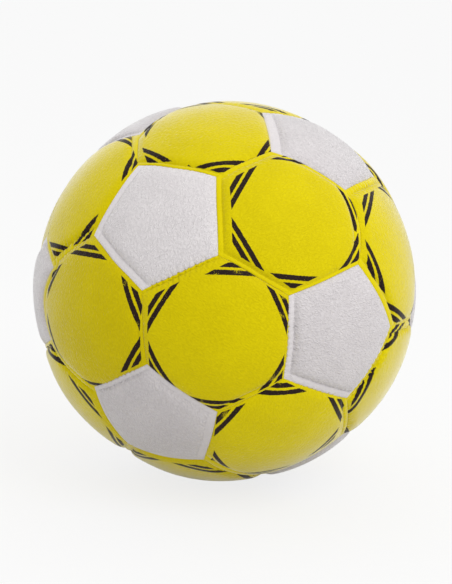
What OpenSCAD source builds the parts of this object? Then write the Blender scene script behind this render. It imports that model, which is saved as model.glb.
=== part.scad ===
// Hand-sewn handball with 32 panels, a truncated icosahedron blown up round by its bladder.
// The origin is the centre of the ball. Each coordinate axis leaves the ball through the middle
// of a seam between two hexagons, where the ball looks the same after half a turn.

/* [Ball] */
// Girth of the blown-up ball, over the middles of its panels
circumference = 590; // [560:1:600]

/* [Cover panels] */
// Thickness of the grained cover with its foam backing
cover_t = 2.6; // [2.2:0.1:3]
// Radius of a hexagon's own bulge
hexagon_crown_r = 81; // [78:0.5:88]
// Radius of a pentagon's own bulge
pentagon_crown_r = 77; // [74:0.5:86]
// Depth of the seam line under the middle of a panel
seam_depth = 2.2; // [2:0.1:2.8]
// Width of the border that slopes down to the seam
border_w = 4; // [3:0.1:5]
// Width of the tight fold at the seam
fold_w = 0.6; // [0.4:0.1:0.8]
// Gap left between two panels at the seam
seam_gap = 0.1; // [0.05:0.05:0.3]

/* [Seam allowance] */
// Thickness of the edge that is turned in and sewn
allowance_t = 1.8; // [1.2:0.1:2.4]
// Distance from the stitches to the cut edge
allowance_margin = 1.5; // [1.2:0.1:2.2]

/* [Stitching] */
// Number of stitch holes along each seam
stitches_per_seam = 7; // [5:1:7]
// Distance from a seam's end to its last stitch
corner_clear = 3.5; // [3.3:0.1:5]
// Thickness of the waxed thread
thread_d = 0.8; // [0.6:0.05:0.9]
// Width of the thread where it lies pressed along the seam
thread_lay_w = 1.2; // [1.2:0.05:1.4]
// Thickness of the thread where it lies pressed along the seam
thread_lay_t = 0.6; // [0.4:0.05:0.8]
// Length of the thread beyond the last stitch
thread_end = 0.8; // [0.7:0.1:1]
// How much wider a stitch hole is than the thread
hole_slack = 0.1; // [0.06:0.02:0.2]
// Gap between the thread and the leather or cloth beside it
thread_gap = 0.05; // [0.02:0.01:0.1]

/* [Lining] */
// Thickness of the cloth bonded behind each panel
lining_t = 0.8; // [0.5:0.1:1.1]
// Thickness of the glue between cover and cloth
glue_t = 0.05; // [0.02:0.01:0.1]
// Gap between the edge of the cloth and the turned-in edge
lining_gap = 0.3; // [0.2:0.1:0.6]
// Gap between the cloth and the stitches under it
stitch_clear = 0.3; // [0.1:0.1:0.6]

/* [Bladder] */
// Wall of the rubber bladder
bladder_t = 0.8; // [0.6:0.1:1.2]
// Gap between the bladder and the turned-in edges that rest on it
bladder_gap = 0.3; // [0.2:0.05:0.5]

/* [Valve] */
// Diameter of the valve's neck in the cover
neck_d = 8.4; // [7.8:0.1:9.5]
// Diameter of the part of the valve inside the bladder
root_d = 9.6; // [9:0.1:11]
// How far the valve reaches into the bladder
root_depth = 9; // [8.6:0.1:12]
// Diameter of the disc that holds the valve to the bladder
disc_d = 22; // [18:0.5:28]
// Thickness of that disc
disc_t = 1.2; // [0.8:0.1:1.6]
// Depth of the valve's face under the cover
valve_recess = 0.4; // [0.2:0.1:0.8]
// Gap between the valve and the hole that it fits
valve_gap = 0.1; // [0.05:0.05:0.2]
// Diameter of the plug's head
plug_head_d = 6; // [5.6:0.1:6.4]
// Thickness of the plug's head
plug_head_t = 1.2; // [0.8:0.1:1.6]
// Diameter of the plug's stem
plug_d = 4.2; // [3.8:0.1:4.6]
// Diameter of the bulb that keeps the plug in
bulb_d = 5.6; // [5.2:0.1:6]
// Height of that bulb
bulb_h = 3; // [2.4:0.1:3.4]
// Rubber left under the bulb's seat
seat_t = 1; // [0.8:0.1:1.4]
// Diameter of the air way under the plug
air_d = 2.6; // [2:0.1:3]
// Diameter of the needle hole
needle_d = 2; // [1.6:0.1:2.2]
// Length of the closed lips at the plug's inner end
lip_t = 2; // [1.6:0.1:2.2]

/* [Hidden] */
$fn = 96;
// Run of each cutting shape past what it cuts
overrun = 1;
golden = (1 + sqrt(5)) / 2;
signs = [-1, 1];
ball_r = circumference / (2 * PI);

// Directions of the 12 pentagons and the 20 hexagons
pentagon_axes = [for (a = signs, b = signs) each
    [[a, 0, b * golden], [b * golden, a, 0], [0, b * golden, a]]];
hexagon_axes = concat(
    [for (x = signs, y = signs, z = signs) [x, y, z]],
    [for (a = signs, b = signs) each
        [[0, a / golden, b * golden], [a / golden, b * golden, 0], [b * golden, 0, a / golden]]]);

function angle_between(a, b) = atan2(norm(cross(a, b)), a * b);
function nearest(a, list) = let (best = max([for (q = list) a * q])) [for (q = list) if (a * q >= best) q][0];
function unit(a) = a / norm(a);
// Part of b at right angles to a
function across(a, b) = unit(b - (unit(a) * b) * unit(a));

// A corner of the pattern lies a third of the way between two neighbouring pentagons
first_pentagon = pentagon_axes[0];
pentagon_span = min([for (q = pentagon_axes) if (q != first_pentagon) angle_between(first_pentagon, q)]);
second_pentagon = [for (q = pentagon_axes) if (abs(angle_between(first_pentagon, q) - pentagon_span) < 1) q][0];
first_corner = 2 * first_pentagon + second_pentagon;
pentagon_corner = angle_between(first_corner, first_pentagon);
hexagon_corner = angle_between(first_corner, nearest(first_corner, hexagon_axes));
pentagon_sides = 5;
hexagon_sides = 6;
// Angle from the middle of a panel to the middle of its seam
function half_angle(sides, corner) = atan(tan(corner) * cos(180 / sides));
pentagon_half = half_angle(pentagon_sides, pentagon_corner);
hexagon_half = half_angle(hexagon_sides, hexagon_corner);
// Half the angle that one seam takes up, seen from the centre
seam_half = asin(sin(hexagon_corner) * sin(180 / hexagon_sides));

// Radius, from the ball's centre, of a face that lies a depth under a panel's bulge
function face_r(crown_r, depth, angle) = let (offset = ball_r - crown_r)
    offset * cos(angle) + sqrt(pow(crown_r - depth, 2) - pow(offset * sin(angle), 2));

seam_r = ball_r - seam_depth;
seam_y = seam_gap / 2;
allowance_y = seam_y + allowance_t;
lining_depth = cover_t + glue_t + lining_t;
lining_low_r = min(face_r(hexagon_crown_r, lining_depth, hexagon_corner),
    face_r(pentagon_crown_r, lining_depth, pentagon_corner));
stitch_r = lining_low_r - stitch_clear - thread_lay_w / 2;
allowance_end_r = stitch_r - allowance_margin;
bladder_r = allowance_end_r - bladder_gap;
thread_y = allowance_y + thread_gap;
// Half the angle between the first and the last stitch of a seam
stitch_half = seam_half - corner_clear / stitch_r * 180 / PI;
stitch_step = 2 * stitch_half / (stitches_per_seam - 1);
valve_axis = [-golden, 1, 0];
valve_top_r = ball_r - valve_recess;
valve_foot_r = bladder_r - root_depth;

function two_digits(i) = str(i < 10 ? "0" : "", i);
function panel_name(kind, i) = str(kind, "_panel_", two_digits(i + 1));

// Turns +Z to a panel's direction and +X towards its first seam
module on_panel(axis, toward) {
    z = unit(axis);
    x = across(axis, toward);
    y = cross(z, x);
    multmatrix([for (i = [0 : 2]) [x[i], y[i], z[i], 0]]) children();
}

// In a panel's frame: +Z to the seam's normal on the panel's side, +X to the seam's middle
module on_side(sides, half, k) {
    rotate([0, half - 90, k * 360 / sides]) children();
}

// Keeps what lies on a panel's side of all its seams, by a distance; children(0) is the blank
module within_walls(sides, half, wall_y, k = 0) {
    if (k == sides) children();
    else intersection() {
        within_walls(sides, half, wall_y, k + 1) children();
        on_side(sides, half, k) translate([-ball_r, -ball_r, wall_y]) cube(2 * ball_r);
    }
}

// Keeps what lies under the tight fold and the sloping border at every side of a panel
module within_borders(sides, half, crown_r, k = 0) {
    seam = [seam_r, seam_y];
    fold = seam + [fold_w, fold_w];
    crown = [crown_x(crown_r, half, border_w), border_w];
    if (k == sides) children();
    else intersection() {
        within_borders(sides, half, crown_r, k + 1) children();
        on_side(sides, half, k) seam_sphere(fold, crown);
        on_side(sides, half, k) seam_sphere(seam, fold);
    }
}

// Distance of a panel's bulge from the axis of one of its seams, at a distance y from the seam
function crown_x(crown_r, half, y) = let (offset = ball_r - crown_r)
    offset * cos(half) + sqrt(pow(crown_r, 2) - pow(y - offset * sin(half), 2));

// Sphere centred on a seam's axis, through two points given as [distance from the axis, from the seam].
// It follows the seam all along, as the seam is a circle about the same axis.
module seam_sphere(p, q) {
    centre_y = (q * q - p * p) / (2 * (q[1] - p[1]));
    translate([0, 0, centre_y]) sphere(r = norm(p - [0, centre_y]));
}

// Round blank of a panel: a bulged disc, its face a depth under the panel's bulge
module blank(crown_r, depth, floor_r, corner, margin) {
    intersection() {
        difference() {
            translate([0, 0, ball_r - crown_r]) sphere(r = crown_r - depth);
            sphere(r = floor_r);
        }
        translate([0, 0, ball_r / 2]) cylinder(r = ball_r * sin(corner) + margin, h = ball_r);
    }
}

// Stitch holes through the turned-in edge, on every side
module stitch_holes(sides, half) {
    for (k = [0 : sides - 1], j = [0 : stitches_per_seam - 1])
        on_side(sides, half, k) rotate([0, 0, j * stitch_step - stitch_half])
            translate([stitch_r, 0, seam_y - overrun])
                cylinder(d = thread_d + hole_slack, h = allowance_t + 2 * overrun);
}

// Hole for the valve's neck, along a panel's own +Z
module neck_hole() {
    translate([0, 0, bladder_r]) cylinder(d = neck_d + 2 * valve_gap, h = ball_r);
}

// One cover panel: bulged face, sloping borders and the turned-in edge with its stitch holes
module cover_panel(sides, half, corner, crown_r, valved) {
    difference() {
        within_borders(sides, half, crown_r) within_walls(sides, half, seam_y)
            blank(crown_r, 0, allowance_end_r, corner, 2 * overrun);
        within_walls(sides, half, allowance_y)
            blank(crown_r, cover_t, allowance_end_r - overrun, corner, overrun);
        stitch_holes(sides, half);
        if (valved) neck_hole();
    }
}

// Cloth behind one panel
module lining(sides, half, corner, crown_r, valved) {
    difference() {
        within_walls(sides, half, allowance_y + lining_gap)
            blank(crown_r, cover_t + glue_t, ball_r / 2, corner, overrun);
        translate([0, 0, ball_r - crown_r]) sphere(r = crown_r - lining_depth);
        if (valved) neck_hole();
    }
}

module hexagon_panel(axis) {
    color([0.84, 0.78, 0.05]) on_panel(axis, nearest(axis, pentagon_axes))
        cover_panel(hexagon_sides, hexagon_half, hexagon_corner, hexagon_crown_r, false);
}

module pentagon_panel(axis) {
    color([0.88, 0.86, 0.87]) on_panel(axis, nearest(axis, hexagon_axes))
        cover_panel(pentagon_sides, pentagon_half, pentagon_corner, pentagon_crown_r, axis == valve_axis);
}

module hexagon_linings() {
    color([0.92, 0.9, 0.84]) for (axis = hexagon_axes) on_panel(axis, nearest(axis, pentagon_axes))
        lining(hexagon_sides, hexagon_half, hexagon_corner, hexagon_crown_r, false);
}

module pentagon_linings() {
    color([0.92, 0.9, 0.84]) for (axis = pentagon_axes) on_panel(axis, nearest(axis, hexagon_axes))
        lining(pentagon_sides, pentagon_half, pentagon_corner, pentagon_crown_r, axis == valve_axis);
}

// Turns +X to the middle of the seam between panels a and b, and +Z to the seam's normal towards a
module on_seam(a, b, half_a) {
    t = across(a, b);
    x = unit(a) * cos(half_a) + t * sin(half_a);
    z = unit(a) * sin(half_a) - t * cos(half_a);
    y = cross(z, x);
    multmatrix([for (i = [0 : 2]) [x[i], y[i], z[i], 0]]) children();
}

// Thread of one seam: its stitches through both turned-in edges, and its two runs between them
module seam_thread() {
    run_half = stitch_half + thread_end / stitch_r * 180 / PI;
    for (s = signs)
        rotate([0, 0, -run_half]) rotate_extrude(angle = 2 * run_half) mirror([0, s < 0 ? 1 : 0]) polygon([
            [stitch_r - thread_lay_w / 2, thread_y],
            [stitch_r + thread_lay_w / 2, thread_y],
            [stitch_r + thread_lay_w / 4, thread_y + thread_lay_t],
            [stitch_r - thread_lay_w / 4, thread_y + thread_lay_t]]);
    for (j = [0 : stitches_per_seam - 1])
        rotate([0, 0, j * stitch_step - stitch_half]) translate([stitch_r, 0, -thread_y - thread_lay_t / 2])
            cylinder(d = thread_d, h = 2 * thread_y + thread_lay_t);
}

// Two panels share a seam if their directions lie closer than this
neighbour_angle = 50;

module pentagon_seam_threads() {
    color([0.93, 0.9, 0.7])
        for (a = pentagon_axes, b = hexagon_axes)
            if (angle_between(a, b) < neighbour_angle) on_seam(a, b, pentagon_half) seam_thread();
}

module hexagon_seam_threads() {
    last = len(hexagon_axes) - 1;
    color([0.93, 0.9, 0.7])
        for (i = [0 : last - 1], j = [i + 1 : last])
            if (angle_between(hexagon_axes[i], hexagon_axes[j]) < neighbour_angle)
                on_seam(hexagon_axes[i], hexagon_axes[j], hexagon_half) seam_thread();
}

module on_valve() {
    on_panel(valve_axis, nearest(valve_axis, hexagon_axes)) children();
}

// Closed rubber sphere with the hole that the valve's root fills
module bladder() {
    color([0.16, 0.16, 0.17]) on_valve() difference() {
        sphere(r = bladder_r);
        sphere(r = bladder_r - bladder_t);
        translate([0, 0, valve_foot_r]) cylinder(d = root_d + 2 * valve_gap, h = ball_r);
    }
}

// Outline of the plug, grown by a gap where the valve body is hollowed for it
module plug_profile(gap) {
    head_r = valve_top_r - plug_head_t;
    bulb_top_r = valve_foot_r + seat_t + bulb_h;
    polygon([
        [0, valve_foot_r + seat_t - gap],
        [air_d / 2, valve_foot_r + seat_t - gap],
        [bulb_d / 2 + gap, valve_foot_r + seat_t + bulb_h / 2],
        [plug_d / 2 + gap, bulb_top_r + gap],
        [plug_d / 2 + gap, head_r - gap],
        [plug_head_d / 2 + gap, head_r - gap],
        [plug_head_d / 2 + gap, valve_top_r + gap],
        [0, valve_top_r + gap]]);
}

// Moulded rubber body: neck, disc bonded on the bladder, and root inside it
module valve_body() {
    color([0.12, 0.12, 0.13]) on_valve() difference() {
        union() {
            translate([0, 0, bladder_r]) cylinder(d = neck_d, h = valve_top_r - bladder_r);
            translate([0, 0, valve_foot_r]) cylinder(d = root_d, h = bladder_r - valve_foot_r);
            intersection() {
                difference() {
                    sphere(r = bladder_r + glue_t + disc_t);
                    sphere(r = bladder_r + glue_t);
                }
                translate([0, 0, ball_r / 2]) cylinder(d = disc_d, h = ball_r);
            }
        }
        rotate_extrude() plug_profile(valve_gap);
        translate([0, 0, valve_foot_r - overrun]) cylinder(d = air_d, h = seat_t + 2 * overrun);
    }
}

// Push-in plug: the needle hole ends in closed lips, which the air inside presses together
module valve_plug() {
    lip_top_r = valve_foot_r + seat_t + lip_t;
    color([0.2, 0.2, 0.21]) on_valve() difference() {
        rotate_extrude() plug_profile(0);
        translate([0, 0, lip_top_r]) cylinder(d = needle_d, h = valve_top_r - lip_top_r + overrun);
    }
}

for (i = [0 : len(hexagon_axes) - 1])
    hexagon_panel(hexagon_axes[i]);
for (i = [0 : len(pentagon_axes) - 1])
    pentagon_panel(pentagon_axes[i]);
hexagon_linings();
pentagon_linings();
pentagon_seam_threads();
hexagon_seam_threads();
bladder();
valve_body();
valve_plug();
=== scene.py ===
# Hand-sewn handball: 20 yellow hexagons and 12 white pentagons over a valved rubber bladder.
# Its panels are sewn inside out, turned, and blown up round, so every seam sits in a soft valley.
import itertools
import math

import bpy
import numpy as np
from mathutils import Matrix, Vector


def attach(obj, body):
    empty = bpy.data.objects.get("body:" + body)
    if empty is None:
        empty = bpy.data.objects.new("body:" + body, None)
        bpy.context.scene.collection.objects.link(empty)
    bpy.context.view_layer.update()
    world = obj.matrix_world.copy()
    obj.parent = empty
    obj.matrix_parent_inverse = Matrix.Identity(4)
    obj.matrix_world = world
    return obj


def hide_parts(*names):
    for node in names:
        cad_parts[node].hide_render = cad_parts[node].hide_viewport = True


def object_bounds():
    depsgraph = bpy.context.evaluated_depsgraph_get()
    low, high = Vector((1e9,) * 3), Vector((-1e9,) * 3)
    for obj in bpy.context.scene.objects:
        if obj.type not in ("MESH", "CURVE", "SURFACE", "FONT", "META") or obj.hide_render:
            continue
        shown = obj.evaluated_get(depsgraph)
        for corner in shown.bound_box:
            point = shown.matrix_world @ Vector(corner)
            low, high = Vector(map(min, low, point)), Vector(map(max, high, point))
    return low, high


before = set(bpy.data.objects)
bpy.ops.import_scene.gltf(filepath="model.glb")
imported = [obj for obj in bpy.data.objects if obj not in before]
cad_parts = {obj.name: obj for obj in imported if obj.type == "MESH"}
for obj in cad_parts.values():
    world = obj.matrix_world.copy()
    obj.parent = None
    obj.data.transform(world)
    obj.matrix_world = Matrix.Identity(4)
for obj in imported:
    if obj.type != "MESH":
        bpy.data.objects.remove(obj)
cad_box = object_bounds()

# Camera.
# A long lens, a little above the ball's middle and turned towards +X, held slightly askew.
picture_px = (452, 584)
ball_centre_px = (223.9, 290.9)
camera_azimuth = math.radians(23.05)
camera_elevation = math.radians(13.21)
camera_roll = math.radians(2.36)
camera_distance = 0.797
focal_px = 1620
sensor_mm = 36

back = np.array([
    math.sin(camera_azimuth) * math.cos(camera_elevation),
    -math.cos(camera_azimuth) * math.cos(camera_elevation),
    math.sin(camera_elevation)])
level_right = np.array([math.cos(camera_azimuth), math.sin(camera_azimuth), 0.0])
level_up = np.cross(back, level_right)
right = level_right * math.cos(camera_roll) + level_up * math.sin(camera_roll)
up = level_up * math.cos(camera_roll) - level_right * math.sin(camera_roll)

camera_data = bpy.data.cameras.new("camera")
camera_data.sensor_width = sensor_mm
camera_data.lens = focal_px / max(picture_px) * sensor_mm
camera_data.shift_x = (picture_px[0] / 2 - ball_centre_px[0]) / max(picture_px)
camera_data.shift_y = (ball_centre_px[1] - picture_px[1] / 2) / max(picture_px)
camera = bpy.data.objects.new("camera", camera_data)
camera.matrix_world = Matrix((
    (right[0], up[0], back[0], back[0] * camera_distance),
    (right[1], up[1], back[1], back[1] * camera_distance),
    (right[2], up[2], back[2], back[2] * camera_distance),
    (0, 0, 0, 1)))
bpy.context.scene.collection.objects.link(camera)
bpy.context.scene.camera = camera


def seen_place(pixel, radius):
    """The direction, from the ball's centre, of a point of a sphere seen at a pixel of the picture."""
    ray = ((pixel[0] - ball_centre_px[0]) * right - (pixel[1] - ball_centre_px[1]) * up) / focal_px - back
    ray = ray / np.linalg.norm(ray)
    eye = back * camera_distance
    middle = -(eye @ ray)
    half = math.sqrt(max(radius ** 2 - (eye @ eye - middle ** 2), 0.0))
    return (eye + ray * (middle - half)) / radius


# Yellow hexagon panels.
# Each is cut from grained polyurethane leather on a foam backing, printed with a pair of black
# stripes across every corner, and sewn to its neighbours by its turned-in edge.
mm = 0.001
golden = (1 + math.sqrt(5)) / 2
signs = (-1, 1)


def unit(v):
    v = np.asarray(v, float)
    return v / np.linalg.norm(v, axis=-1, keepdims=True)


def panel_names(kind, directions):
    return {f"{kind}_panel_{i:02d}": unit(v) for i, v in enumerate(directions, 1)}


pentagons = panel_names("pentagon", [
    v for a in signs for b in signs for v in ((a, 0, b * golden), (b * golden, a, 0), (0, b * golden, a))])
hexagons = panel_names("hexagon", [(x, y, z) for x in signs for y in signs for z in signs] + [
    v for a in signs for b in signs
    for v in ((0, a / golden, b * golden), (a / golden, b * golden, 0), (b * golden, 0, a / golden))])
axes = {**pentagons, **hexagons}

# The ball's size, read off the frame, how round its panels are, and how deep what lies under them is
ball_r = max(v.co.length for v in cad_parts["hexagon_panel_16"].data.vertices)
crown_r = {"hexagon": 81 * mm, "pentagon": 77 * mm}
seam_depth = 2.2 * mm
cover_t = 2.6 * mm
edge_foot_depth = 4.7 * mm
seam_r = ball_r - seam_depth
edge_foot_r = ball_r - edge_foot_depth

# How far along from one pentagon to the next the seam corner lies, and the cosine of the angle
# between two pentagons above which they are neighbours
corner_share = 0.343
neighbour_cos = 0.4


def named(code):
    """P9 H2 stands for pentagon_panel_09 and hexagon_panel_02."""
    kinds = {"P": "pentagon", "H": "hexagon"}
    return tuple(f"{kinds[c[0]]}_panel_{int(c[1:]):02d}" for c in code.split())


def key(*names):
    return tuple(sorted(names))


corners = {}
for one, other in itertools.permutations(pentagons, 2):
    if pentagons[one] @ pentagons[other] > neighbour_cos:
        place = unit((1 - corner_share) * pentagons[one] + corner_share * pentagons[other])
        beside = sorted(hexagons, key=lambda name: -(hexagons[name] @ place))[:2]
        corners[key(one, *beside)] = place


# The ball's slow waves, each with its direction, its phase and its height in mm. Then, in mm, how much
# fuller the ball is to the right and to the top of the picture, and how oval it is.
swell_waves = (
    ((3.1, 5.2, -2.7), 0.4, 0.20), ((-6.3, 2.2, 4.9), 1.9, 0.16), ((11.7, -8.1, 9.4), 3.3, 0.07),
    ((-17.2, 14.5, 12.8), 5.1, 0.05))
fuller_right_mm = 0.8
fuller_top_mm = 0.2
oval_mm = 0.35


def swell_mm(u):
    """Slow, shallow unevenness of the whole blown-up ball."""
    uneven = sum(height * np.sin(u @ np.array(wave) + phase) for wave, phase, height in swell_waves)
    across, upward = u @ right, u @ up
    lean = uneven + fuller_right_mm * across + fuller_top_mm * upward
    return lean + oval_mm * (across ** 2 - upward ** 2) - oval_mm


# Where the hand-sewn ball's own corners show in the picture. Most lie within about 4 mm of the even
# pattern, and three at the rim, where a pixel is worth several mm, lie 11 to 15 mm off it.
seen_corners_px = {
    "P9 H2 H12": (137.8, 164.7), "P9 H6 H12": (216.1, 176.5), "P9 H6 H16": (218.0, 255.1),
    "P9 H10 H16": (141.7, 290.6), "P9 H2 H10": (92.7, 234.8), "P4 H2 H12": (139.0, 133.8),
    "P2 H2 H10": (51.9, 267.0), "P2 H2 H17": (46.3, 236.0), "P2 H1 H10": (49.6, 340.3),
    "P10 H12 H18": (262.0, 111.6), "P10 H6 H12": (271.1, 151.2), "P10 H6 H20": (345.0, 190.3),
    "P10 H8 H20": (372.6, 177.9), "P5 H6 H16": (289.1, 295.8), "P5 H5 H16": (283.9, 378.7),
    "P5 H5 H14": (346.4, 397.7), "P5 H14 H20": (388.9, 325.8), "P5 H6 H20": (357.5, 264.6),
    "P3 H10 H16": (146.4, 364.9), "P3 H1 H10": (93.2, 387.7), "P3 H1 H9": (126.4, 446.2),
    "P3 H5 H9": (203.8, 461.1), "P3 H5 H16": (217.3, 413.1), "P7 H5 H9": (262.9, 474.6),
    "P7 H5 H14": (343.4, 434.0), "P11 H14 H20": (409.0, 316.0), "P4 H12 H18": (189.0, 103.5)}
for code, pixel in seen_corners_px.items():
    corners[key(*named(code))] = seen_place(pixel, seam_r)

# The first panel carries the seam's flat border: its width in mm, and how strong the stitch marks are
seen_borders = {
    "P9 H2": (3.7, 0.2), "P9 H10": (3.9, 0.3), "H16 P9": (1.2, 1.0), "H6 P9": (2.5, 0.15),
    "H12 P9": (2.0, 0.5), "H6 H16": (2.2, 0.15), "H10 H16": (2.6, 0.1), "P5 H16": (2.9, 0.8),
    "P5 H5": (3.6, 0.8), "H6 P5": (1.6, 0.2), "H20 P5": (3.6, 0.2), "H14 P5": (2.0, 1.0),
    "P3 H10": (2.6, 0.8), "P3 H16": (2.6, 0.1), "P3 H5": (4.0, 0.3), "P3 H9": (2.0, 0.1),
    "P3 H1": (2.6, 0.3), "P10 H12": (5.4, 0.2), "H6 P10": (2.0, 0.2), "H20 P10": (3.4, 1.0),
    "H6 H20": (4.2, 0.2), "H2 H10": (3.6, 1.0), "H2 H12": (3.6, 0.3), "H16 H5": (2.4, 0.1),
    "H10 P2": (4.6, 0.1)}
# How far the seam's middle bows towards the second panel, in mm
seen_bows = {"H6 H20": 3.6, "H10 P2": 8.5, "P10 H8": 2.5, "P10 H18": 1.5}
stitch_pitch_mm = 2.8
# How far the seam's line steps aside at the stitches, how far it drifts, and the teeth's mean share
tooth_mm = 1.2
drift_mm = 0.22
tooth_mean = 0.22


def stitch_beat(run):
    """1 at each stitch along a seam and 0 halfway between, at not quite even steps."""
    return 0.5 + 0.5 * np.cos(2 * math.pi * (run + 0.35 * np.sin(0.8 * run)) / stitch_pitch_mm)


class Seam:
    """The line between two neighbouring panels, as both of them are cut and sewn to it."""

    def __init__(self, names, start, end, border, wander):
        self.names, self.start = names, start
        self.owner, self.border_mm, self.marks = border
        self.bow_mm, self.wander, self.crisp = 0.0, wander, 1.0
        self.along = unit(end - (start @ end) * start)
        self.length_mm = math.acos(start @ end) * ball_r / mm
        normal = unit(np.cross(start, end))
        self.to_second = normal * np.sign(normal @ axes[names[1]])

    def run_mm(self, u):
        return np.arctan2(u @ self.along, u @ self.start) * ball_r / mm

    def shift_mm(self, run):
        """How far the sewn line lies from the straight one, towards the second panel."""
        share = np.clip(run / self.length_mm, 0, 1)
        uneven = 0.65 + 0.35 * np.sin(1.9 * run + self.wander[1])
        tooth = tooth_mm * self.marks ** 2 * uneven * (stitch_beat(run) ** 6 - tooth_mean)
        drift = drift_mm * np.sin(2 * math.pi * share * self.wander[0] + self.wander[1])
        return np.sin(math.pi * share) * (self.bow_mm + drift + tooth)

    def point(self, share):
        run = share * self.length_mm
        angle = run * mm / ball_r
        base = np.outer(np.cos(angle), self.start) + np.outer(np.sin(angle), self.along)
        return unit(base + np.outer(self.shift_mm(run) * mm / ball_r, self.to_second))

    def distance_mm(self, u, name):
        """Distance from the sewn line into one of its two panels."""
        side = 1 if name == self.names[1] else -1
        straight = np.arcsin(np.clip(u @ self.to_second, -1, 1)) * ball_r / mm
        return side * (straight - self.shift_mm(self.run_mm(u)))


seam_rng = np.random.default_rng(32)
seams = {}
for (key_a, a), (key_b, b) in itertools.combinations(sorted(corners.items()), 2):
    shared = key(*(set(key_a) & set(key_b)))
    if len(shared) == 2:
        owner = shared[seam_rng.integers(2)]
        border = (owner, seam_rng.uniform(2.2, 4.2), seam_rng.uniform(0.1, 0.9))
        wander = (seam_rng.uniform(0.6, 1.6), seam_rng.uniform(0, 2 * math.pi))
        seams[shared] = Seam(shared, a, b, border, wander)
for code, (width, marks) in seen_borders.items():
    seam = seams[key(*named(code))]
    seam.owner, seam.border_mm, seam.marks = named(code)[0], width, marks
for code, bow in seen_bows.items():
    seam = seams[key(*named(code))]
    seam.bow_mm = bow if seam.names[1] == named(code)[1] else -bow
# Where the crease beside the border is softer than the 1 of most seams
soft_creases = {
    "P3 H5": 0.25, "P3 H16": 0.2, "P10 H6": 0.0, "H6 H12": 0.1, "P5 H6": 0.4, "H10 H16": 0.5}
for code, crisp in soft_creases.items():
    seams[key(*named(code))].crisp = crisp


def bulge(cos_angle, radius):
    """Radius of a panel's round bulge at an angle from its middle."""
    offset = ball_r - radius
    return offset * cos_angle + np.sqrt(radius ** 2 - offset ** 2 * (1 - cos_angle ** 2))


def ramp(x):
    return np.clip(x, 0, 1)


# The plain side of a seam: how wide its round shoulder and its tight fold are, and the fold's share
shoulder_mm = 5.6
fold_mm = 0.45
fold_share = 0.15


def plain_fall(d):
    """Share of the way down to the seam, at d mm from it: a round shoulder and a tight fold."""
    return (1 - fold_share) * ramp(1 - d / shoulder_mm) ** 2.4 + fold_share * ramp(1 - d / fold_mm) ** 2


# The flat side: how far down the border lies, how much deeper a crisp crease is, the shares of the
# border's width that its fold takes and that stay level, and how far the panel rises past the crease
border_level = 0.74
crease_dip = 0.34
border_fold_share = 0.3
border_level_share = 0.4
pillow_mm = 6.2


def border_fall(d, width, crisp):
    """The same on the side with the flat border, which a sewn crease ends."""
    crease = border_level + crease_dip * crisp
    x = d / width
    fold = border_level + (1 - border_level) * ramp(1 - x / border_fold_share) ** 2
    rolled = ramp((x - border_level_share) / (1 - border_level_share))
    roll = border_level + (crease - border_level) * rolled ** 2.6
    pillow = crease * ramp(1 - (d - width) / pillow_mm) ** 4.0
    return np.where(x < border_level_share, fold, np.where(x < 1, roll, pillow))


turn_drop_mm = 0.2
turn_reach_mm = 0.1


def turned_in_mm(d):
    """How far the leather drops where it turns in between the two panels."""
    return turn_drop_mm * ramp(1 - d / turn_reach_mm) ** 2


# How deep the marks of the thread are, in mm, and how near a corner they fade out
marks_fade_mm = 3
pucker_mm = 0.18
groove_mm = 0.14
pinch_mm = 0.4
pinhole_mm = 0.36
wrinkle_mm = 0.30


def stitch_marks_mm(seam, d, run, owned):
    """Depth of the puckers, pinholes and slanting wrinkles that the thread pulls into the leather."""
    ends = ramp(run / marks_fade_mm) * ramp((seam.length_mm - run) / marks_fade_mm) * seam.marks
    if not owned:
        return pucker_mm * ends * (stitch_beat(run) ** 2 - 0.4) * np.exp(-(d / 1.3) ** 2)
    past = d - seam.border_mm
    groove = groove_mm * seam.crisp * np.exp(-(past / 0.4) ** 2)
    pinch = pinch_mm * seam.marks ** 3 * stitch_beat(run) ** 6 * ramp(-past / 0.5)
    hole = stitch_beat(run) ** 3 * np.exp(-(past / 0.45) ** 2)
    wrinkle = (stitch_beat(run - 0.9 * past) - 0.5) * ramp(past / 0.5) * np.exp(-(past / 2.4) ** 2)
    return groove + ends * (pinhole_mm * hole + wrinkle_mm * wrinkle + pinch)


def panel_frame(name):
    """A panel's own +X towards its first seam, +Y and +Z, as rows."""
    z = axes[name]
    around = pentagons if name in hexagons else hexagons
    nearest = max(v @ z for v in around.values())
    toward = next(v for v in around.values() if v @ z > nearest - 1e-9)
    x = unit(toward - (toward @ z) * z)
    return np.array([x, np.cross(z, x), z])


def panel_sides(name):
    """The panel's seams, in turn round it, each with whether it is walked from its end."""
    x, y, z = panel_frame(name)
    loop = [v for k, v in corners.items() if name in k]
    loop.sort(key=lambda v: math.atan2(v @ y, v @ x))
    sides = []
    for a, b in zip(loop, loop[1:] + loop[:1]):
        middle = unit(a + b)
        own = [s for s in seams.values() if name in s.names]
        seam = max(own, key=lambda s: s.point(np.array([0.5]))[0] @ middle)
        sides.append((seam, seam.start @ a < seam.start @ b))
    return sides


# Distances from the seam of a panel's rings of points, on its face and on its underside
face_rings_mm = (
    0.01, 0.04, 0.08, 0.14, 0.25, 0.45, 0.7, 1.0, 1.35, 1.75, 2.15, 2.55, 2.95, 3.35, 3.75, 4.15, 4.55,
    5.0, 5.5, 6.1, 6.9, 8.0, 9.6, 11.6, 14.0, 17.0, 20.5, 24.5, 28.5)
under_rings_mm = (0.01, 0.9, 3.0, 6.8, 14.0, 20.5)
# How far the innermost ring stays from the panel's middle, or from the valve's hole
middle_clear_mm = 2.5

# How far apart the panels were cut on the sheets of leather
sheet_step_mm = 90


def side_points(distance):
    """How many points a ring has along one side."""
    return 64 if distance < 6 else 32 if distance < 13 else 16


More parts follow.
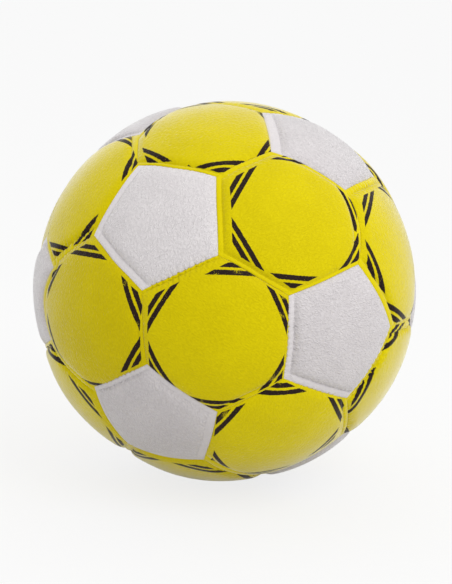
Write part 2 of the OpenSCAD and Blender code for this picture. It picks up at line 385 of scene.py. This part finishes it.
def panel_ring(name, sides, distance, hole_r):
    """Points round the panel at a distance from its seams, on ever rounder rings towards its middle."""
    x, y, z = panel_frame(name)
    count = side_points(distance)
    share = np.arange(count) / count
    edge = np.vstack([seam.point(1 - share if backward else share) for seam, backward in sides])
    flat = np.stack([edge @ x, edge @ y], 1) / (edge @ z)[:, None]
    radius = np.linalg.norm(flat, axis=1)
    half = min(radius)
    inset = distance * mm / ball_r / half
    if inset > 1:
        wanted = hole_r / ball_r
    else:
        roundness = ramp((inset - 0.35) / 0.5)
        wanted = (1 - inset) * (radius * (1 - roundness) + half * roundness)
    flat = flat * (wanted / radius)[:, None]
    return unit(flat @ np.array([x, y]) + z)


# How far the valve pulls the leather down round its hole, and how wide about its axis
valve_dip_mm = 0.3
valve_dip_r = 7 * mm


def face_radius(name, sides, u, hole_r):
    """Height of the leather's face: bulge, shoulders, borders, creases and stitch marks."""
    cos_angle = u @ axes[name]
    face = bulge(cos_angle, crown_r[name.split("_")[0]])
    left, marks = 1.0, 0.0
    for seam, _ in sides:
        d, run = seam.distance_mm(u, name), seam.run_mm(u)
        owned = seam.owner == name
        fall = border_fall(d, seam.border_mm, seam.crisp) if owned else plain_fall(d)
        left = left * (1 - fall)
        marks = marks + stitch_marks_mm(seam, d, run, owned) + turned_in_mm(d)
    if hole_r:
        from_axis = np.arccos(np.clip(cos_angle, -1, 1)) * ball_r
        marks = marks + valve_dip_mm * np.exp(-(from_axis / valve_dip_r) ** 4)
    return seam_r + (face - seam_r) * left + (swell_mm(u) - marks) * mm


def border_share(name, sides, u):
    """1 on the panel's flat borders, which the fold pulls smooth, and 0 on its grained middle."""
    owned = [s for s, _ in sides if s.owner == name]
    shares = [ramp((s.border_mm - s.distance_mm(u, name)) / 0.5) for s in owned]
    return np.max([np.zeros(len(u))] + shares, axis=0)


def under_radius(u, distance):
    """Height of the foam's underside, just clear of every cloth lining, and of the turned-in edge."""
    faces = [bulge(u @ axes[name], crown_r[name.split("_")[0]]) for name in axes]
    foam = np.max(faces, axis=0) - cover_t
    return np.where(distance < 1, edge_foot_r, foam)


def join_rings(low, low_count, high, high_count):
    """Faces between two rings of points, where the second may have half as many."""
    if low_count == high_count:
        return [(low + i, low + j, high + j, high + i)
            for i in range(low_count) for j in [(i + 1) % low_count]]
    faces = []
    for i in range(high_count):
        j = (i + 1) % high_count
        a, b, c = low + 2 * i, low + 2 * i + 1, low + (2 * i + 2) % low_count
        faces += [(a, b, high + i), (b, high + j, high + i), (b, c, high + j)]
    return faces


def new_piece(name, points, faces, material):
    """A smooth mesh that rides on the ball and takes the material it is given."""
    mesh = bpy.data.meshes.new(name)
    mesh.from_pydata([tuple(p) for p in points], [], faces)
    mesh.polygons.foreach_set("use_smooth", [True] * len(mesh.polygons))
    mesh.materials.append(material)
    piece = bpy.data.objects.new(name, mesh)
    bpy.context.scene.collection.objects.link(piece)
    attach(piece, "root")
    return piece


def store(piece, name, kind, values):
    """Keeps values for every point of a piece, which its material reads by their name."""
    attribute = piece.data.attributes.new(name, kind, "POINT")
    field = "vector" if kind == "FLOAT_VECTOR" else "value"
    attribute.data.foreach_set(field, values.astype(np.float32).ravel())


def print_place_mm(flat, slip_mm, own_slips):
    """Each point's place on the print, and how far the print is cut back there, by its nearest corner."""
    sector = math.pi / 3
    places, cuts, turns = [], [], []
    for corner in range(6):
        round_mm, out_mm, tilt, cut_mm = own_slips.get(corner, (0, 0, 0, 0))
        out = np.array([math.cos((corner + 0.5) * sector), math.sin((corner + 0.5) * sector)])
        along = np.array([-out[1], out[0]])
        rise = out_mm + tilt * (flat @ along)
        moved = flat - np.array(slip_mm) - round_mm * along - np.outer(rise, out)
        places.append(moved)
        cuts.append(cut_mm)
        turns.append(abs(np.arctan2(moved @ along, moved @ out)))
    nearest = np.argmin(turns, axis=0)
    return np.array(places)[nearest, np.arange(len(flat))], np.array(cuts)[nearest]


def cover_panel(name, material, slot, tone, slip_mm=(0, 0), bend=(0, 0, 0), own_slips=None, hole_r=0.0):
    """One cover panel as a closed shell: its face, its edge and its underside."""
    sides = panel_sides(name)
    x, y, z = panel_frame(name)
    half_mm = min(s.distance_mm(z[None, :], name)[0] for s, _ in sides)
    points, faces, walls = [], [], []
    for steps, under in ((face_rings_mm, False), (under_rings_mm, True)):
        rings = []
        reach = half_mm - middle_clear_mm - hole_r / mm
        for distance in [d for d in steps if d < reach] + [2 * half_mm] * bool(hole_r):
            u = panel_ring(name, sides, distance, hole_r)
            radius = under_radius(u, distance) if under else face_radius(name, sides, u, hole_r)
            rings.append((len(points), len(u)))
            points.extend(u * radius[:, None])
        skin = [f for low, high in zip(rings, rings[1:]) for f in join_rings(*low, *high)]
        if not hole_r:
            middle = z[None, :]
            radius = under_radius(middle, half_mm) if under else face_radius(name, sides, middle, hole_r)
            points.extend(middle * radius)
            start, count = rings[-1]
            skin += [(start + i, start + (i + 1) % count, len(points) - 1) for i in range(count)]
        faces += [f[::-1] for f in skin] if under else skin
        walls.append(rings)
    faces += join_rings(*walls[1][0], *walls[0][0])
    if hole_r:
        faces += join_rings(*walls[0][-1], *walls[1][-1])
    piece = new_piece(name.replace("panel", "cover"), points, faces, material)
    u = unit(points)
    off = np.arccos(np.clip(u @ z, -1, 1)) * ball_r / mm
    turn = np.arctan2(u @ y, u @ x)
    flat = off[:, None] * np.stack([np.cos(turn), np.sin(turn)], 1)
    bends = bend[0] + flat @ np.array(bend[1:]) / half_mm
    printed, cut_back = print_place_mm(flat, slip_mm, own_slips or {})
    cut_at = sheet_step_mm * list(axes).index(name)
    store(piece, "print_mm", "FLOAT_VECTOR", np.column_stack([printed, bends]))
    store(piece, "sheet_mm", "FLOAT_VECTOR", np.column_stack([flat[:, 0] + cut_at, flat[:, 1], 0 * off]))
    store(piece, "print_cut_mm", "FLOAT", cut_back)
    store(piece, "flat_border", "FLOAT", border_share(name, sides, u))
    store(piece, "panel_tone", "FLOAT", np.full(len(u), tone))
    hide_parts(name)


class Wire:
    """A socket of a material's nodes. Sums on wires add Math nodes, and add() makes any other node."""

    def __init__(self, tree, socket=None):
        self.tree, self.socket = tree, socket

    def add(self, kind, settings=None, sockets=None, output=0):
        node = self.tree.nodes.new("ShaderNode" + kind)
        for name, value in (settings or {}).items():
            setattr(node, name, value)
        for name, value in (sockets or {}).items():
            if isinstance(value, Wire):
                self.tree.links.new(value.socket, node.inputs[name])
            else:
                node.inputs[name].default_value = value
        return Wire(self.tree, node.outputs[output] if node.outputs else None)

    def math(self, operation, *values):
        return self.add("Math", {"operation": operation}, dict(enumerate(values)))

    def other(self, output):
        """Another output of the same node."""
        return Wire(self.tree, self.socket.node.outputs[output])

    def __add__(self, other):
        return self.math("ADD", self, other)

    def __sub__(self, other):
        return self.math("SUBTRACT", self, other)

    def __rsub__(self, other):
        return self.math("SUBTRACT", other, self)

    def __mul__(self, other):
        return self.math("MULTIPLY", self, other)

    def __abs__(self):
        return self.math("ABSOLUTE", self)

    __radd__, __rmul__ = __add__, __mul__

    def blend(self, colour_a, colour_b):
        """colour_a where this wire is 0, colour_b where it is 1."""
        return self.add("Mix", {"data_type": "RGBA"}, {0: self, 6: colour_a, 7: colour_b}, output=2)

    def edge(self, low, high):
        """0 below low, 1 above high, and smooth between them."""
        return self.add("MapRange", {"interpolation_type": "SMOOTHSTEP"},
            {"Value": self, "From Min": low, "From Max": high})


def start_nodes(owner):
    """Empties the nodes of a material or a world and returns the wire that adds new ones."""
    owner.use_nodes = True
    owner.node_tree.nodes.clear()
    return Wire(owner.node_tree)


def finished(name, wire_to_surface):
    """A material whose surface function takes a wire and returns its shader."""
    material = bpy.data.materials.new(name)
    wire = start_nodes(material)
    wire.add("OutputMaterial", None, {"Surface": wire_to_surface(wire)})
    return material


# The grain of the leather: wavy wrinkles about 1 mm apart, and pebbles between finer creases
grain_mm = 0.95
grain_stretch = (1.0, 0.6, 1.0)
wave_stretch = (1.0, 0.42, 1.0)
grain_bend_mm = (2.2, 2.2, 0)
wave_scale = 1.45 / grain_mm
ink_colour = (0.020, 0.011, 0.010, 1)


def leather(name, colour, shade, grain_depth_mm, printed=False):
    """Grained polyurethane leather with a soft matt bloom, which pales at a grazing view."""
    def surface(wire):
        place = wire.add("TexCoord", output=3)
        sheet = wire.add("Attribute", {"attribute_name": "sheet_mm"}, output=1)
        # Less of the grain on the flat borders: both a shallower bump and less painted shade in the
        # grain's creases, which leaves the borders paler
        grained = 1 - wire.add("Attribute", {"attribute_name": "flat_border"}, output=2) * 0.55
        warp = wire.add("TexNoise", None, {"Vector": sheet, "Scale": 0.45, "Detail": 2.0}, output=1)
        bent = wire.add("VectorMath", {"operation": "MULTIPLY_ADD"}, {0: warp, 1: grain_bend_mm, 2: sheet})
        long = wire.add("VectorMath", {"operation": "MULTIPLY"}, {0: bent, 1: grain_stretch})
        longer = wire.add("VectorMath", {"operation": "MULTIPLY"}, {0: bent, 1: wave_stretch})
        wave = wire.add("TexNoise", None, {"Vector": longer, "Scale": wave_scale, "Detail": 1.0})
        wave = wave.edge(0.3, 0.7)
        gap = wire.add("TexVoronoi", {"feature": "DISTANCE_TO_EDGE"},
            {"Vector": long, "Scale": 1 / grain_mm})
        crease = 1 - gap.edge(0.0, 0.5)
        fine = wire.add("TexNoise", None, {"Vector": sheet, "Scale": 2.4, "Detail": 2.0})
        cloud = wire.add("TexNoise", None,
            {"Vector": place, "Scale": 60.0, "Detail": 4.0, "Roughness": 0.6})
        # Each panel's own tone, which on H10 and P3 is painted shade and on H20 a painted sheen
        own = wire.add("Attribute", {"attribute_name": "panel_tone"}, output=2)
        # The relief part of the tone darkens the colour in the grain's creases and pales it on its wave
        # ridges: painted shade and light on the grain's relief, on top of the bump's own shading
        tone = cloud.edge(0.3, 0.7) * 0.2 + own + (crease * 0.2 - wave * 0.3 + fine * 0.2 + 0.3) * grained
        base = tone.blend(colour, shade)
        rough = 0.36 + fine * 0.12 + crease * 0.1
        height = (fine * 0.2 - crease * 0.35 + wave) * grained
        if printed:
            worn = wire.add("TexNoise", None, {"Vector": place, "Scale": 120.0, "Detail": 1.0})
            worn = worn.edge(0.63, 0.74)
            bare = (fine + worn * 0.2).edge(0.66, 0.74)
            ink = corner_stripes(wire) * (1 - bare * 0.8)
            height = height + ink * 0.4
        normal = wire.add("Bump", None,
            {"Strength": 1.0, "Distance": grain_depth_mm * mm, "Height": height})
        bloom = wire.add("BsdfPrincipled", None, {
            "Base Color": base, "Roughness": rough, "Normal": normal,
            "Specular IOR Level": 0.04, "Sheen Weight": 1.0, "Sheen Roughness": 0.3})
        if not printed:
            return bloom
        film = wire.add("BsdfPrincipled", None, {
            "Base Color": ink_colour, "Roughness": 0.34 + fine * 0.2, "Normal": normal,
            "Specular IOR Level": 0.06, "Sheen Weight": 0.2, "Sheen Roughness": 0.3})
        return wire.add("MixShader", None, {0: ink, 1: bloom, 2: film})
    return finished(name, surface)


# The print: two slightly bent bars across each corner, cut off along the seams, in mm on the flat
# panel: the inner bar's place, the bars' width, their step, where they end and how soft their edge is
stripe_place_mm = 30.7
stripe_w_mm = 2.3
stripe_step_mm = 3.5
print_edge_mm = 32.0
ink_blur_mm = 0.12


def corner_stripes(wire):
    """1 on the ink and 0 off it, from the point's place on the flat panel."""
    place = wire.add("Attribute", {"attribute_name": "print_mm"}, output=1)
    shaky = wire.add("TexNoise", None, {"Vector": place, "Scale": 0.9, "Detail": 1.0}) * 0.5 - 0.25
    x = wire.add("SeparateXYZ", None, {0: place})
    y = x.other(1)
    sector = math.pi / 3
    turn = wire.math("FLOORED_MODULO", wire.math("ARCTAN2", y, x), sector) - sector / 2
    off = wire.math("SQRT", x * x + y * y)
    out = off * wire.math("COSINE", turn)
    side = off * abs(wire.math("SINE", turn))
    depth = out - stripe_place_mm + side * side * x.other(2) * 0.5 + shaky
    low, high = stripe_w_mm / 2 - ink_blur_mm, stripe_w_mm / 2 + ink_blur_mm
    inner = 1 - abs(depth).edge(low, high)
    outer = 1 - abs(depth - stripe_step_mm).edge(low, high)
    cut_back = wire.add("Attribute", {"attribute_name": "print_cut_mm"}, output=2)
    reach = out * math.cos(sector / 2) + side * math.sin(sector / 2) + shaky + cut_back
    return (inner + outer) * (1 - reach.edge(print_edge_mm - ink_blur_mm, print_edge_mm + ink_blur_mm))


yellow = (0.74, 0.62, 0.001, 1)
yellow_shade = (0.57, 0.46, 0.0, 1)
yellow_grain_mm = 0.10
yellow_leather = leather("yellow_grained_leather", yellow, yellow_shade, yellow_grain_mm, printed=True)

# How far each panel's print slipped on its cut, in mm along the panel's own +X and +Y
print_slips_mm = {
    "H16": (-0.5, 2.1), "H6": (3.1, 4.4), "H10": (-1.1, 0.9), "H5": (0.2, -0.3), "H12": (-4.4, -0.5),
    "H20": (-2.1, 5.0), "H2": (-0.8, 1.2), "H9": (0.1, -1.5), "H14": (-4.6, -0.6), "H1": (-1.5, 0.6)}
# How single corners of it lie: slipped round the panel and outwards in mm, tilted, and cut back in mm
corner_slips = {
    "H16": {0: (-0.2, 0.4, 0, 0.6), 1: (-1.4, 0.4, 0, 1.4), 2: (-0.4, 0.4, 0.09, 0.5),
        3: (-5.4, -0.2, 0, 0.1), 4: (1.7, -0.4, 0, -0.4), 5: (-0.2, 0.4, 0, 0.3)},
    "H6": {0: (1.5, -0.4, 0, 0.9), 1: (-6.2, -0.8, 0.2, 0.4), 2: (-1.5, -0.8, 0, -0.3),
        3: (2.3, -0.9, 0, -0.4), 4: (0.5, 0.6, 0, -0.6), 5: (-4.3, -0.8, 0, 0.9)},
    "H10": {1: (-3.0, 1.0, 0, 1.0), 2: (3.5, -0.3, 0, 0.7), 3: (-2.0, -0.1, 0.05, -0.3),
        4: (3.4, 0.2, -0.06, -0.2), 5: (1.6, 0.4, 0, 0.9)},
    "H5": {0: (1.0, -0.1, 0, 1.4), 1: (0, 1.8, 0, 0), 2: (0, 1.0, 0, 0), 3: (-4.3, 0.1, 0.1, -0.1),
        4: (2.2, 1.0, 0.08, -0.2), 5: (-1.2, 0.2, 0, 0.3)},
    "H12": {0: (-3.6, 0.3, -0.08, -0.8), 1: (-3.3, -0.3, -0.08, 0.9), 2: (5.1, -1.4, 0, -1.2),
        3: (-8.2, -0.6, 0, 0.7)},
    "H20": {0: (0.3, 0.1, 0, 0.2), 4: (1.8, 0, 0, -0.3), 5: (1.7, 0.7, -0.2, -0.3)},
    "H2": {0: (1.6, -0.6, 0, 0.8), 1: (-5.2, -1.2, 0, 1.0), 2: (4.4, -0.2, -0.03, 1.1),
        3: (-0.4, 0.3, 0.05, 0)},
    "H9": {3: (-1.6, -2.0, 0, 0), 4: (2.0, -2.0, 0, 0)},
    "H14": {0: (-0.9, 0.9, 0.1, -0.6), 1: (1.4, 1.0, 0, -0.6), 5: (-1.5, 1.9, 0.1, 0.2)},
    "H1": {1: (-3.0, -3.0, 0, 0), 2: (0.6, -2.4, 0, 0.2)}}
# How much its bars bend (1/mm), on the whole, and more towards the panel's own +X and +Y
print_bends = {
    "H16": (0.007, 0.003, 0.003), "H6": (0.005, 0.004, 0.003), "H10": (0.002, 0, 0), "H12": (0.002, 0, 0),
    "H5": (0.003, 0.005, 0.002), "H20": (0.004, 0, 0), "H2": (0.001, 0, 0), "H14": (0.002, 0, 0),
    "H9": (0.007, 0, 0), "H1": (0.008, 0, 0)}
# How much darker than plain leather a panel is, or paler where this is below 0. The values listed here
# hold painted light: the darker H10 and P3, low on the left, are painted shade, and the paler H20 at the
# right rim is a painted sheen.
seen_tones_with_painted_shade = {
    "P9": -0.35, "P3": 0.1, "P5": 0.0, "P10": 0.05, "H10": 0.3, "H20": -0.1, "H16": 0.0, "H6": 0.0}
# How far the other panels stray, by chance: slip in mm, the mean bend and its spread, and tone
slip_spread_mm = 1.3
bend_mean = (0.005, 0, 0)
bend_spread = 0.002
tone_spread = 0.1


def panel_finish(code):
    """A panel's tone, with painted shade or sheen on some seen panels, and the slip and bend of its print:
    as seen, or else as drawn for it by chance.
    """
    slip = print_rng.normal(0, slip_spread_mm, 2)
    bend = print_rng.normal(bend_mean, bend_spread)
    tone = print_rng.normal(0, tone_spread)
    return seen_tones_with_painted_shade.get(code, tone), print_slips_mm.get(code, slip), print_bends.get(code, bend)


print_rng = np.random.default_rng(20)
for number, name in enumerate(hexagons, 1):
    finish = panel_finish(f"H{number}")
    cover_panel(name, yellow_leather, "yellow_cover", *finish, corner_slips.get(f"H{number}"))

# White pentagon panels.
# The same leather in white, without print. One of them has the hole for the valve's neck,
# round which the rubber pulls the leather down a little.
valve_panel = "pentagon_panel_08"
valve_hole_r = 4.3 * mm
white = (0.74, 0.705, 0.71, 1)
white_shade = (0.54, 0.505, 0.515, 1)
white_grain_mm = 0.20
white_leather = leather("white_grained_leather", white, white_shade, white_grain_mm)
for number, name in enumerate(pentagons, 1):
    tone = panel_finish(f"P{number}")[0]
    hole_r = valve_hole_r if name == valve_panel else 0.0
    cover_panel(name, white_leather, "white_cover", tone, hole_r=hole_r)

# Cloth linings.
# Layers of cotton and polyester cloth, glued together and to the back of every panel's foam, which
# keep the panels from stretching. They are cut to the panels' shapes and stay as the frame has them.


def carried(node, material):
    """Gives a part of the frame that keeps its shape its finish."""
    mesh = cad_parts[node].data
    mesh.materials.clear()
    mesh.materials.append(material)
    mesh.polygons.foreach_set("material_index", [0] * len(mesh.polygons))


def cloth_surface(wire):
    place = wire.add("TexCoord", output=3)
    yarn = {"Vector": place, "Scale": 420.0, "Distortion": 0.4, "Detail": 1.0}
    warp_yarn = wire.add("TexWave", {"bands_direction": "X"}, yarn, output=1)
    weft_yarn = wire.add("TexWave", {"bands_direction": "Z"}, yarn, output=1)
    weave = wire.math("MAXIMUM", warp_yarn, weft_yarn)
    glue = wire.add("TexNoise", None, {"Vector": place, "Scale": 70.0, "Detail": 4.0}).edge(0.45, 0.65)
    base = (weave * (1 - glue * 0.5)).blend((0.55, 0.50, 0.40, 1), (0.82, 0.79, 0.72, 1))
    return wire.add("BsdfPrincipled", None, {"Base Color": base, "Roughness": 0.9 - glue * 0.3,
        "Normal": wire.add("Bump", None, {"Strength": 0.8, "Distance": 0.15 * mm, "Height": weave})})


lining_cloth = finished("glued_lining_cloth", cloth_surface)
for node in ("hexagon_linings", "pentagon_linings"):
    carried(node, lining_cloth)

# Seam threads.
# Waxed, twisted polyester thread, sewn by hand with two needles through the holes in the panels'
# turned-in edges, and pulled tight from inside. It stays as the frame has it.


def thread_surface(wire):
    place = wire.add("TexCoord", output=3)
    ply = wire.add("TexWave", {"bands_direction": "DIAGONAL"},
        {"Vector": place, "Scale": 700.0, "Distortion": 1.5, "Detail": 2.0}, output=1)
    wax = wire.add("TexNoise", None, {"Vector": place, "Scale": 900.0, "Detail": 3.0})
    base = (ply * 0.6 + wax * 0.4).blend((0.55, 0.50, 0.30, 1), (0.83, 0.79, 0.58, 1))
    return wire.add("BsdfPrincipled", None, {"Base Color": base, "Roughness": 0.42 + wax * 0.25,
        "Normal": wire.add("Bump", None, {"Strength": 0.7, "Distance": 0.1 * mm, "Height": ply})})


waxed_thread = finished("waxed_polyester_thread", thread_surface)
for node in ("pentagon_seam_threads", "hexagon_seam_threads"):
    carried(node, waxed_thread)

# Bladder.
# A seamless sphere of black butyl rubber, moulded with the valve's root in its wall and blown up
# against the linings. It is dusted with talc so that it slides while it fills.


def rubber(name, colour, dust, dust_share, rough):
    """Black moulded rubber with a thin, cloudy film of dust on it."""
    def surface(wire):
        place = wire.add("TexCoord", output=3)
        cloud = wire.add("TexNoise", None,
            {"Vector": place, "Scale": 90.0, "Detail": 6.0, "Roughness": 0.65})
        speck = wire.add("TexNoise", None, {"Vector": place, "Scale": 1500.0, "Detail": 2.0})
        film = cloud.edge(0.35, 0.75) * dust_share + speck.edge(0.55, 0.75) * dust_share * 0.5
        return wire.add("BsdfPrincipled", None, {"Base Color": film.blend(colour, dust),
            "Roughness": rough + film * 0.3,
            "Normal": wire.add("Bump", None, {"Strength": 0.5, "Distance": 0.03 * mm, "Height": speck})})
    return finished(name, surface)


talc = (0.30, 0.29, 0.28, 1)
butyl_rubber = rubber("talced_butyl_rubber", (0.028, 0.028, 0.030, 1), talc, 0.6, 0.55)
carried("bladder", butyl_rubber)

# Valve body.
# A black rubber collar, moulded on the bladder's wall by its disc and its root. Its neck fills the
# hole in one white panel, and is hollowed for the plug, which is pushed in from outside.
valve_axis = axes[valve_panel]
valve_sunk = 0.4 * mm
valve_top_r = ball_r - valve_sunk
bladder_r = 86.479 * mm
root_depth = 9 * mm
root_foot_r = bladder_r - root_depth
disc_clear = 0.05 * mm
disc_under_r = bladder_r + disc_clear
plug_clear = 0.1 * mm
turned_points = 72


def disc_height(r, radius):
    """Height of a point on a round wall about the ball's centre, r from the valve's axis."""
    return math.sqrt(radius ** 2 - r ** 2)


def turned(name, outline, material, node):
    """Makes a round piece about the valve's axis, from the (radius, height) points of its outline."""
    side = unit(np.cross(valve_axis, (0, 0, 1)))
    other = np.cross(valve_axis, side)
    angles = np.arange(turned_points) * 2 * math.pi / turned_points
    points = [valve_axis * h + r * (math.cos(t) * side + math.sin(t) * other)
        for r, h in outline for t in angles]
    faces = []
    for i in range(len(outline)):
        low, high = i * turned_points, (i + 1) % len(outline) * turned_points
        faces += join_rings(low, turned_points, high, turned_points)
    piece = new_piece(name, points, faces, material)
    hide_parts(node)


def bevelled(outline, size):
    """The outline with each corner given as (radius, height, True) cut round."""
    rounded = []
    for i, (r, h, *soft) in enumerate(outline):
        here = np.array([r, h])
        if not soft:
            rounded.append(here)
            continue
        arms = [np.array(outline[(i + step) % len(outline)][:2]) - here for step in (-1, 1)]
        ends = [here + arm * min(size / np.linalg.norm(arm), 0.45) for arm in arms]
        for t in (0, 0.25, 0.5, 0.75, 1):
            rounded.append((1 - t) ** 2 * ends[0] + 2 * t * (1 - t) * here + t ** 2 * ends[1])
    return rounded


neck_r, root_r, disc_r, disc_t = 4.2 * mm, 4.8 * mm, 11 * mm, 1.2 * mm
head_r, head_t, stem_r, bulb_r, bulb_h = 3.0 * mm, 1.2 * mm, 2.1 * mm, 2.8 * mm, 3.0 * mm
seat_t, air_r, needle_r, lip_t = 1.0 * mm, 1.3 * mm, 1.0 * mm, 2.0 * mm
seat_r = root_foot_r + seat_t
bulb_top_r = seat_r + bulb_h
head_foot_r = valve_top_r - head_t
bulb_taper = 0.8 * mm
skirt_w = 1.6 * mm
collar_round = 0.35 * mm

# (radius, height) from the top of the plug's seat, down inside, and up outside
body_outline = bevelled([
    (head_r + plug_clear, valve_top_r - 0.15 * mm, True), (head_r + plug_clear, head_foot_r - plug_clear),
    (stem_r + plug_clear, head_foot_r - plug_clear), (stem_r + plug_clear, bulb_top_r + plug_clear),
    (bulb_r + plug_clear, bulb_top_r - bulb_taper), (bulb_r + plug_clear, seat_r + bulb_taper),
    (air_r, seat_r - plug_clear), (air_r, root_foot_r, True), (root_r, root_foot_r, True),
    (root_r, bladder_r), (root_r, disc_under_r), (disc_r, disc_height(disc_r, disc_under_r)),
    (disc_r, disc_height(disc_r, disc_under_r + 0.4 * disc_t), True),
    (neck_r + skirt_w, disc_under_r + disc_t, True), (neck_r, disc_under_r + 1.3 * disc_t, True),
    (neck_r, valve_top_r - 0.05 * mm, True), (head_r + 0.5 * mm, valve_top_r, True)], collar_round)
valve_rubber = rubber("valve_rubber", (0.018, 0.018, 0.020, 1), (0.20, 0.19, 0.18, 1), 0.25, 0.38)
turned("valve_collar", body_outline, valve_rubber, "valve_body")

# Valve plug.
# A softer rubber stopper, greased and pushed into the collar. Its domed head has a sunk hole for
# the pump's needle, which ends in lips that the air inside presses shut.
lip_top_r = seat_r + lip_t
lip_gap = 0.02 * mm
lip_slope = 0.3 * mm
stopper_round = 0.3 * mm
plug_outline = bevelled([
    (needle_r, lip_top_r), (lip_gap, lip_top_r - lip_slope), (lip_gap, seat_r), (air_r, seat_r, True),
    (bulb_r, seat_r + bulb_taper, True), (bulb_r, bulb_top_r - bulb_taper, True), (stem_r, bulb_top_r),
    (stem_r, head_foot_r), (head_r, head_foot_r), (head_r, valve_top_r - 0.35 * mm, True),
    (2.1 * mm, valve_top_r - 0.02 * mm, True), (1.65 * mm, valve_top_r - 0.1 * mm, True),
    (needle_r, valve_top_r - 0.75 * mm, True)], stopper_round)
plug_rubber = rubber("plug_rubber", (0.050, 0.050, 0.052, 1), (0.24, 0.23, 0.22, 1), 0.2, 0.32)
turned("valve_stopper", plug_outline, plug_rubber, "valve_plug")

# Table and studio light.
# A pale matt table that runs out of the picture, in a white tent lit from above on the right, with
# a bright backdrop low behind the ball on the left, and a lamp that models the seams.
floor_gap = 0.5 * mm
floor_z = cad_box[0][2] - floor_gap
floor_half = 12.0
floor_corners = ((-1, -1), (1, -1), (1, 1), (-1, 1))
floor_points = [(x * floor_half, y * floor_half, floor_z) for x, y in floor_corners]
floor_mesh = bpy.data.meshes.new("table")
floor_mesh.from_pydata(floor_points, [], [(0, 1, 2, 3)])
floor = bpy.data.objects.new("table", floor_mesh)
bpy.context.scene.collection.objects.link(floor)


def seen_as_background(wire):
    """1 to the camera, and in gloss and through glass, and 0 to the light that falls on the ball."""
    path = wire.add("LightPath")
    glossy = wire.math("MAXIMUM", path, path.other("Is Glossy Ray"))
    return wire.math("MAXIMUM", glossy, path.other("Is Transmission Ray"))


floor_white_share = 0.8


def table_surface(wire):
    seen = seen_as_background(wire)
    pale = wire.add("BsdfDiffuse", None, {"Color": (0.70, 0.70, 0.70, 1)})
    glow = wire.add("Emission", None, {"Color": (1, 1, 1, 1), "Strength": 1.0})
    return wire.add("MixShader", None, {0: seen * floor_white_share, 1: pale, 2: glow})


floor_mesh.materials.append(finished("pale_table", table_surface))

light_from = unit((0.38, 0.24, 0.90))
lamp_from = unit((0.63, -0.32, 0.71))
lamp_distance = 1.3
lamp_size = 0.8
lamp_watts = 5.2
backdrop_at = unit((-0.48, 0.66, -0.58))
tent_dark = (0.10, 0.10, 0.10, 1)
tent_bright = (1.11, 1.11, 1.11, 1)
backdrop_bright = (1.85, 1.85, 1.85, 1)


def toward(wire, direction, place):
    """Cosine of the angle between a direction of the world and that of a place."""
    return wire.add("VectorMath", {"operation": "DOT_PRODUCT"}, {0: direction, 1: tuple(place)}, output=1)


world = bpy.data.worlds.new("studio_tent")
wire = start_nodes(world)
seen = seen_as_background(wire)
direction = wire.add("TexCoord", output=0)
tent = (toward(wire, direction, light_from) * 0.5 + 0.5).blend(tent_dark, tent_bright)
tent = toward(wire, direction, backdrop_at).edge(-0.19, 0.57).blend(tent, backdrop_bright)
shown = seen.blend(tent, (1, 1, 1, 1))
wire.add("OutputWorld", None, {"Surface": wire.add("Background", None, {"Color": shown, "Strength": 1.0})})
bpy.context.scene.world = world


def soft_lamp(name, place, size, watts):
    data = bpy.data.lights.new(name, "AREA")
    data.shape, data.size, data.energy = "DISK", size, watts
    lamp = bpy.data.objects.new(name, data)
    lamp.location = place
    lamp.rotation_euler = Vector(place).to_track_quat("Z", "Y").to_euler()
    bpy.context.scene.collection.objects.link(lamp)


soft_lamp("key_lamp", lamp_from * lamp_distance, lamp_size, lamp_watts)

bpy.context.scene.view_settings.view_transform = "Standard"
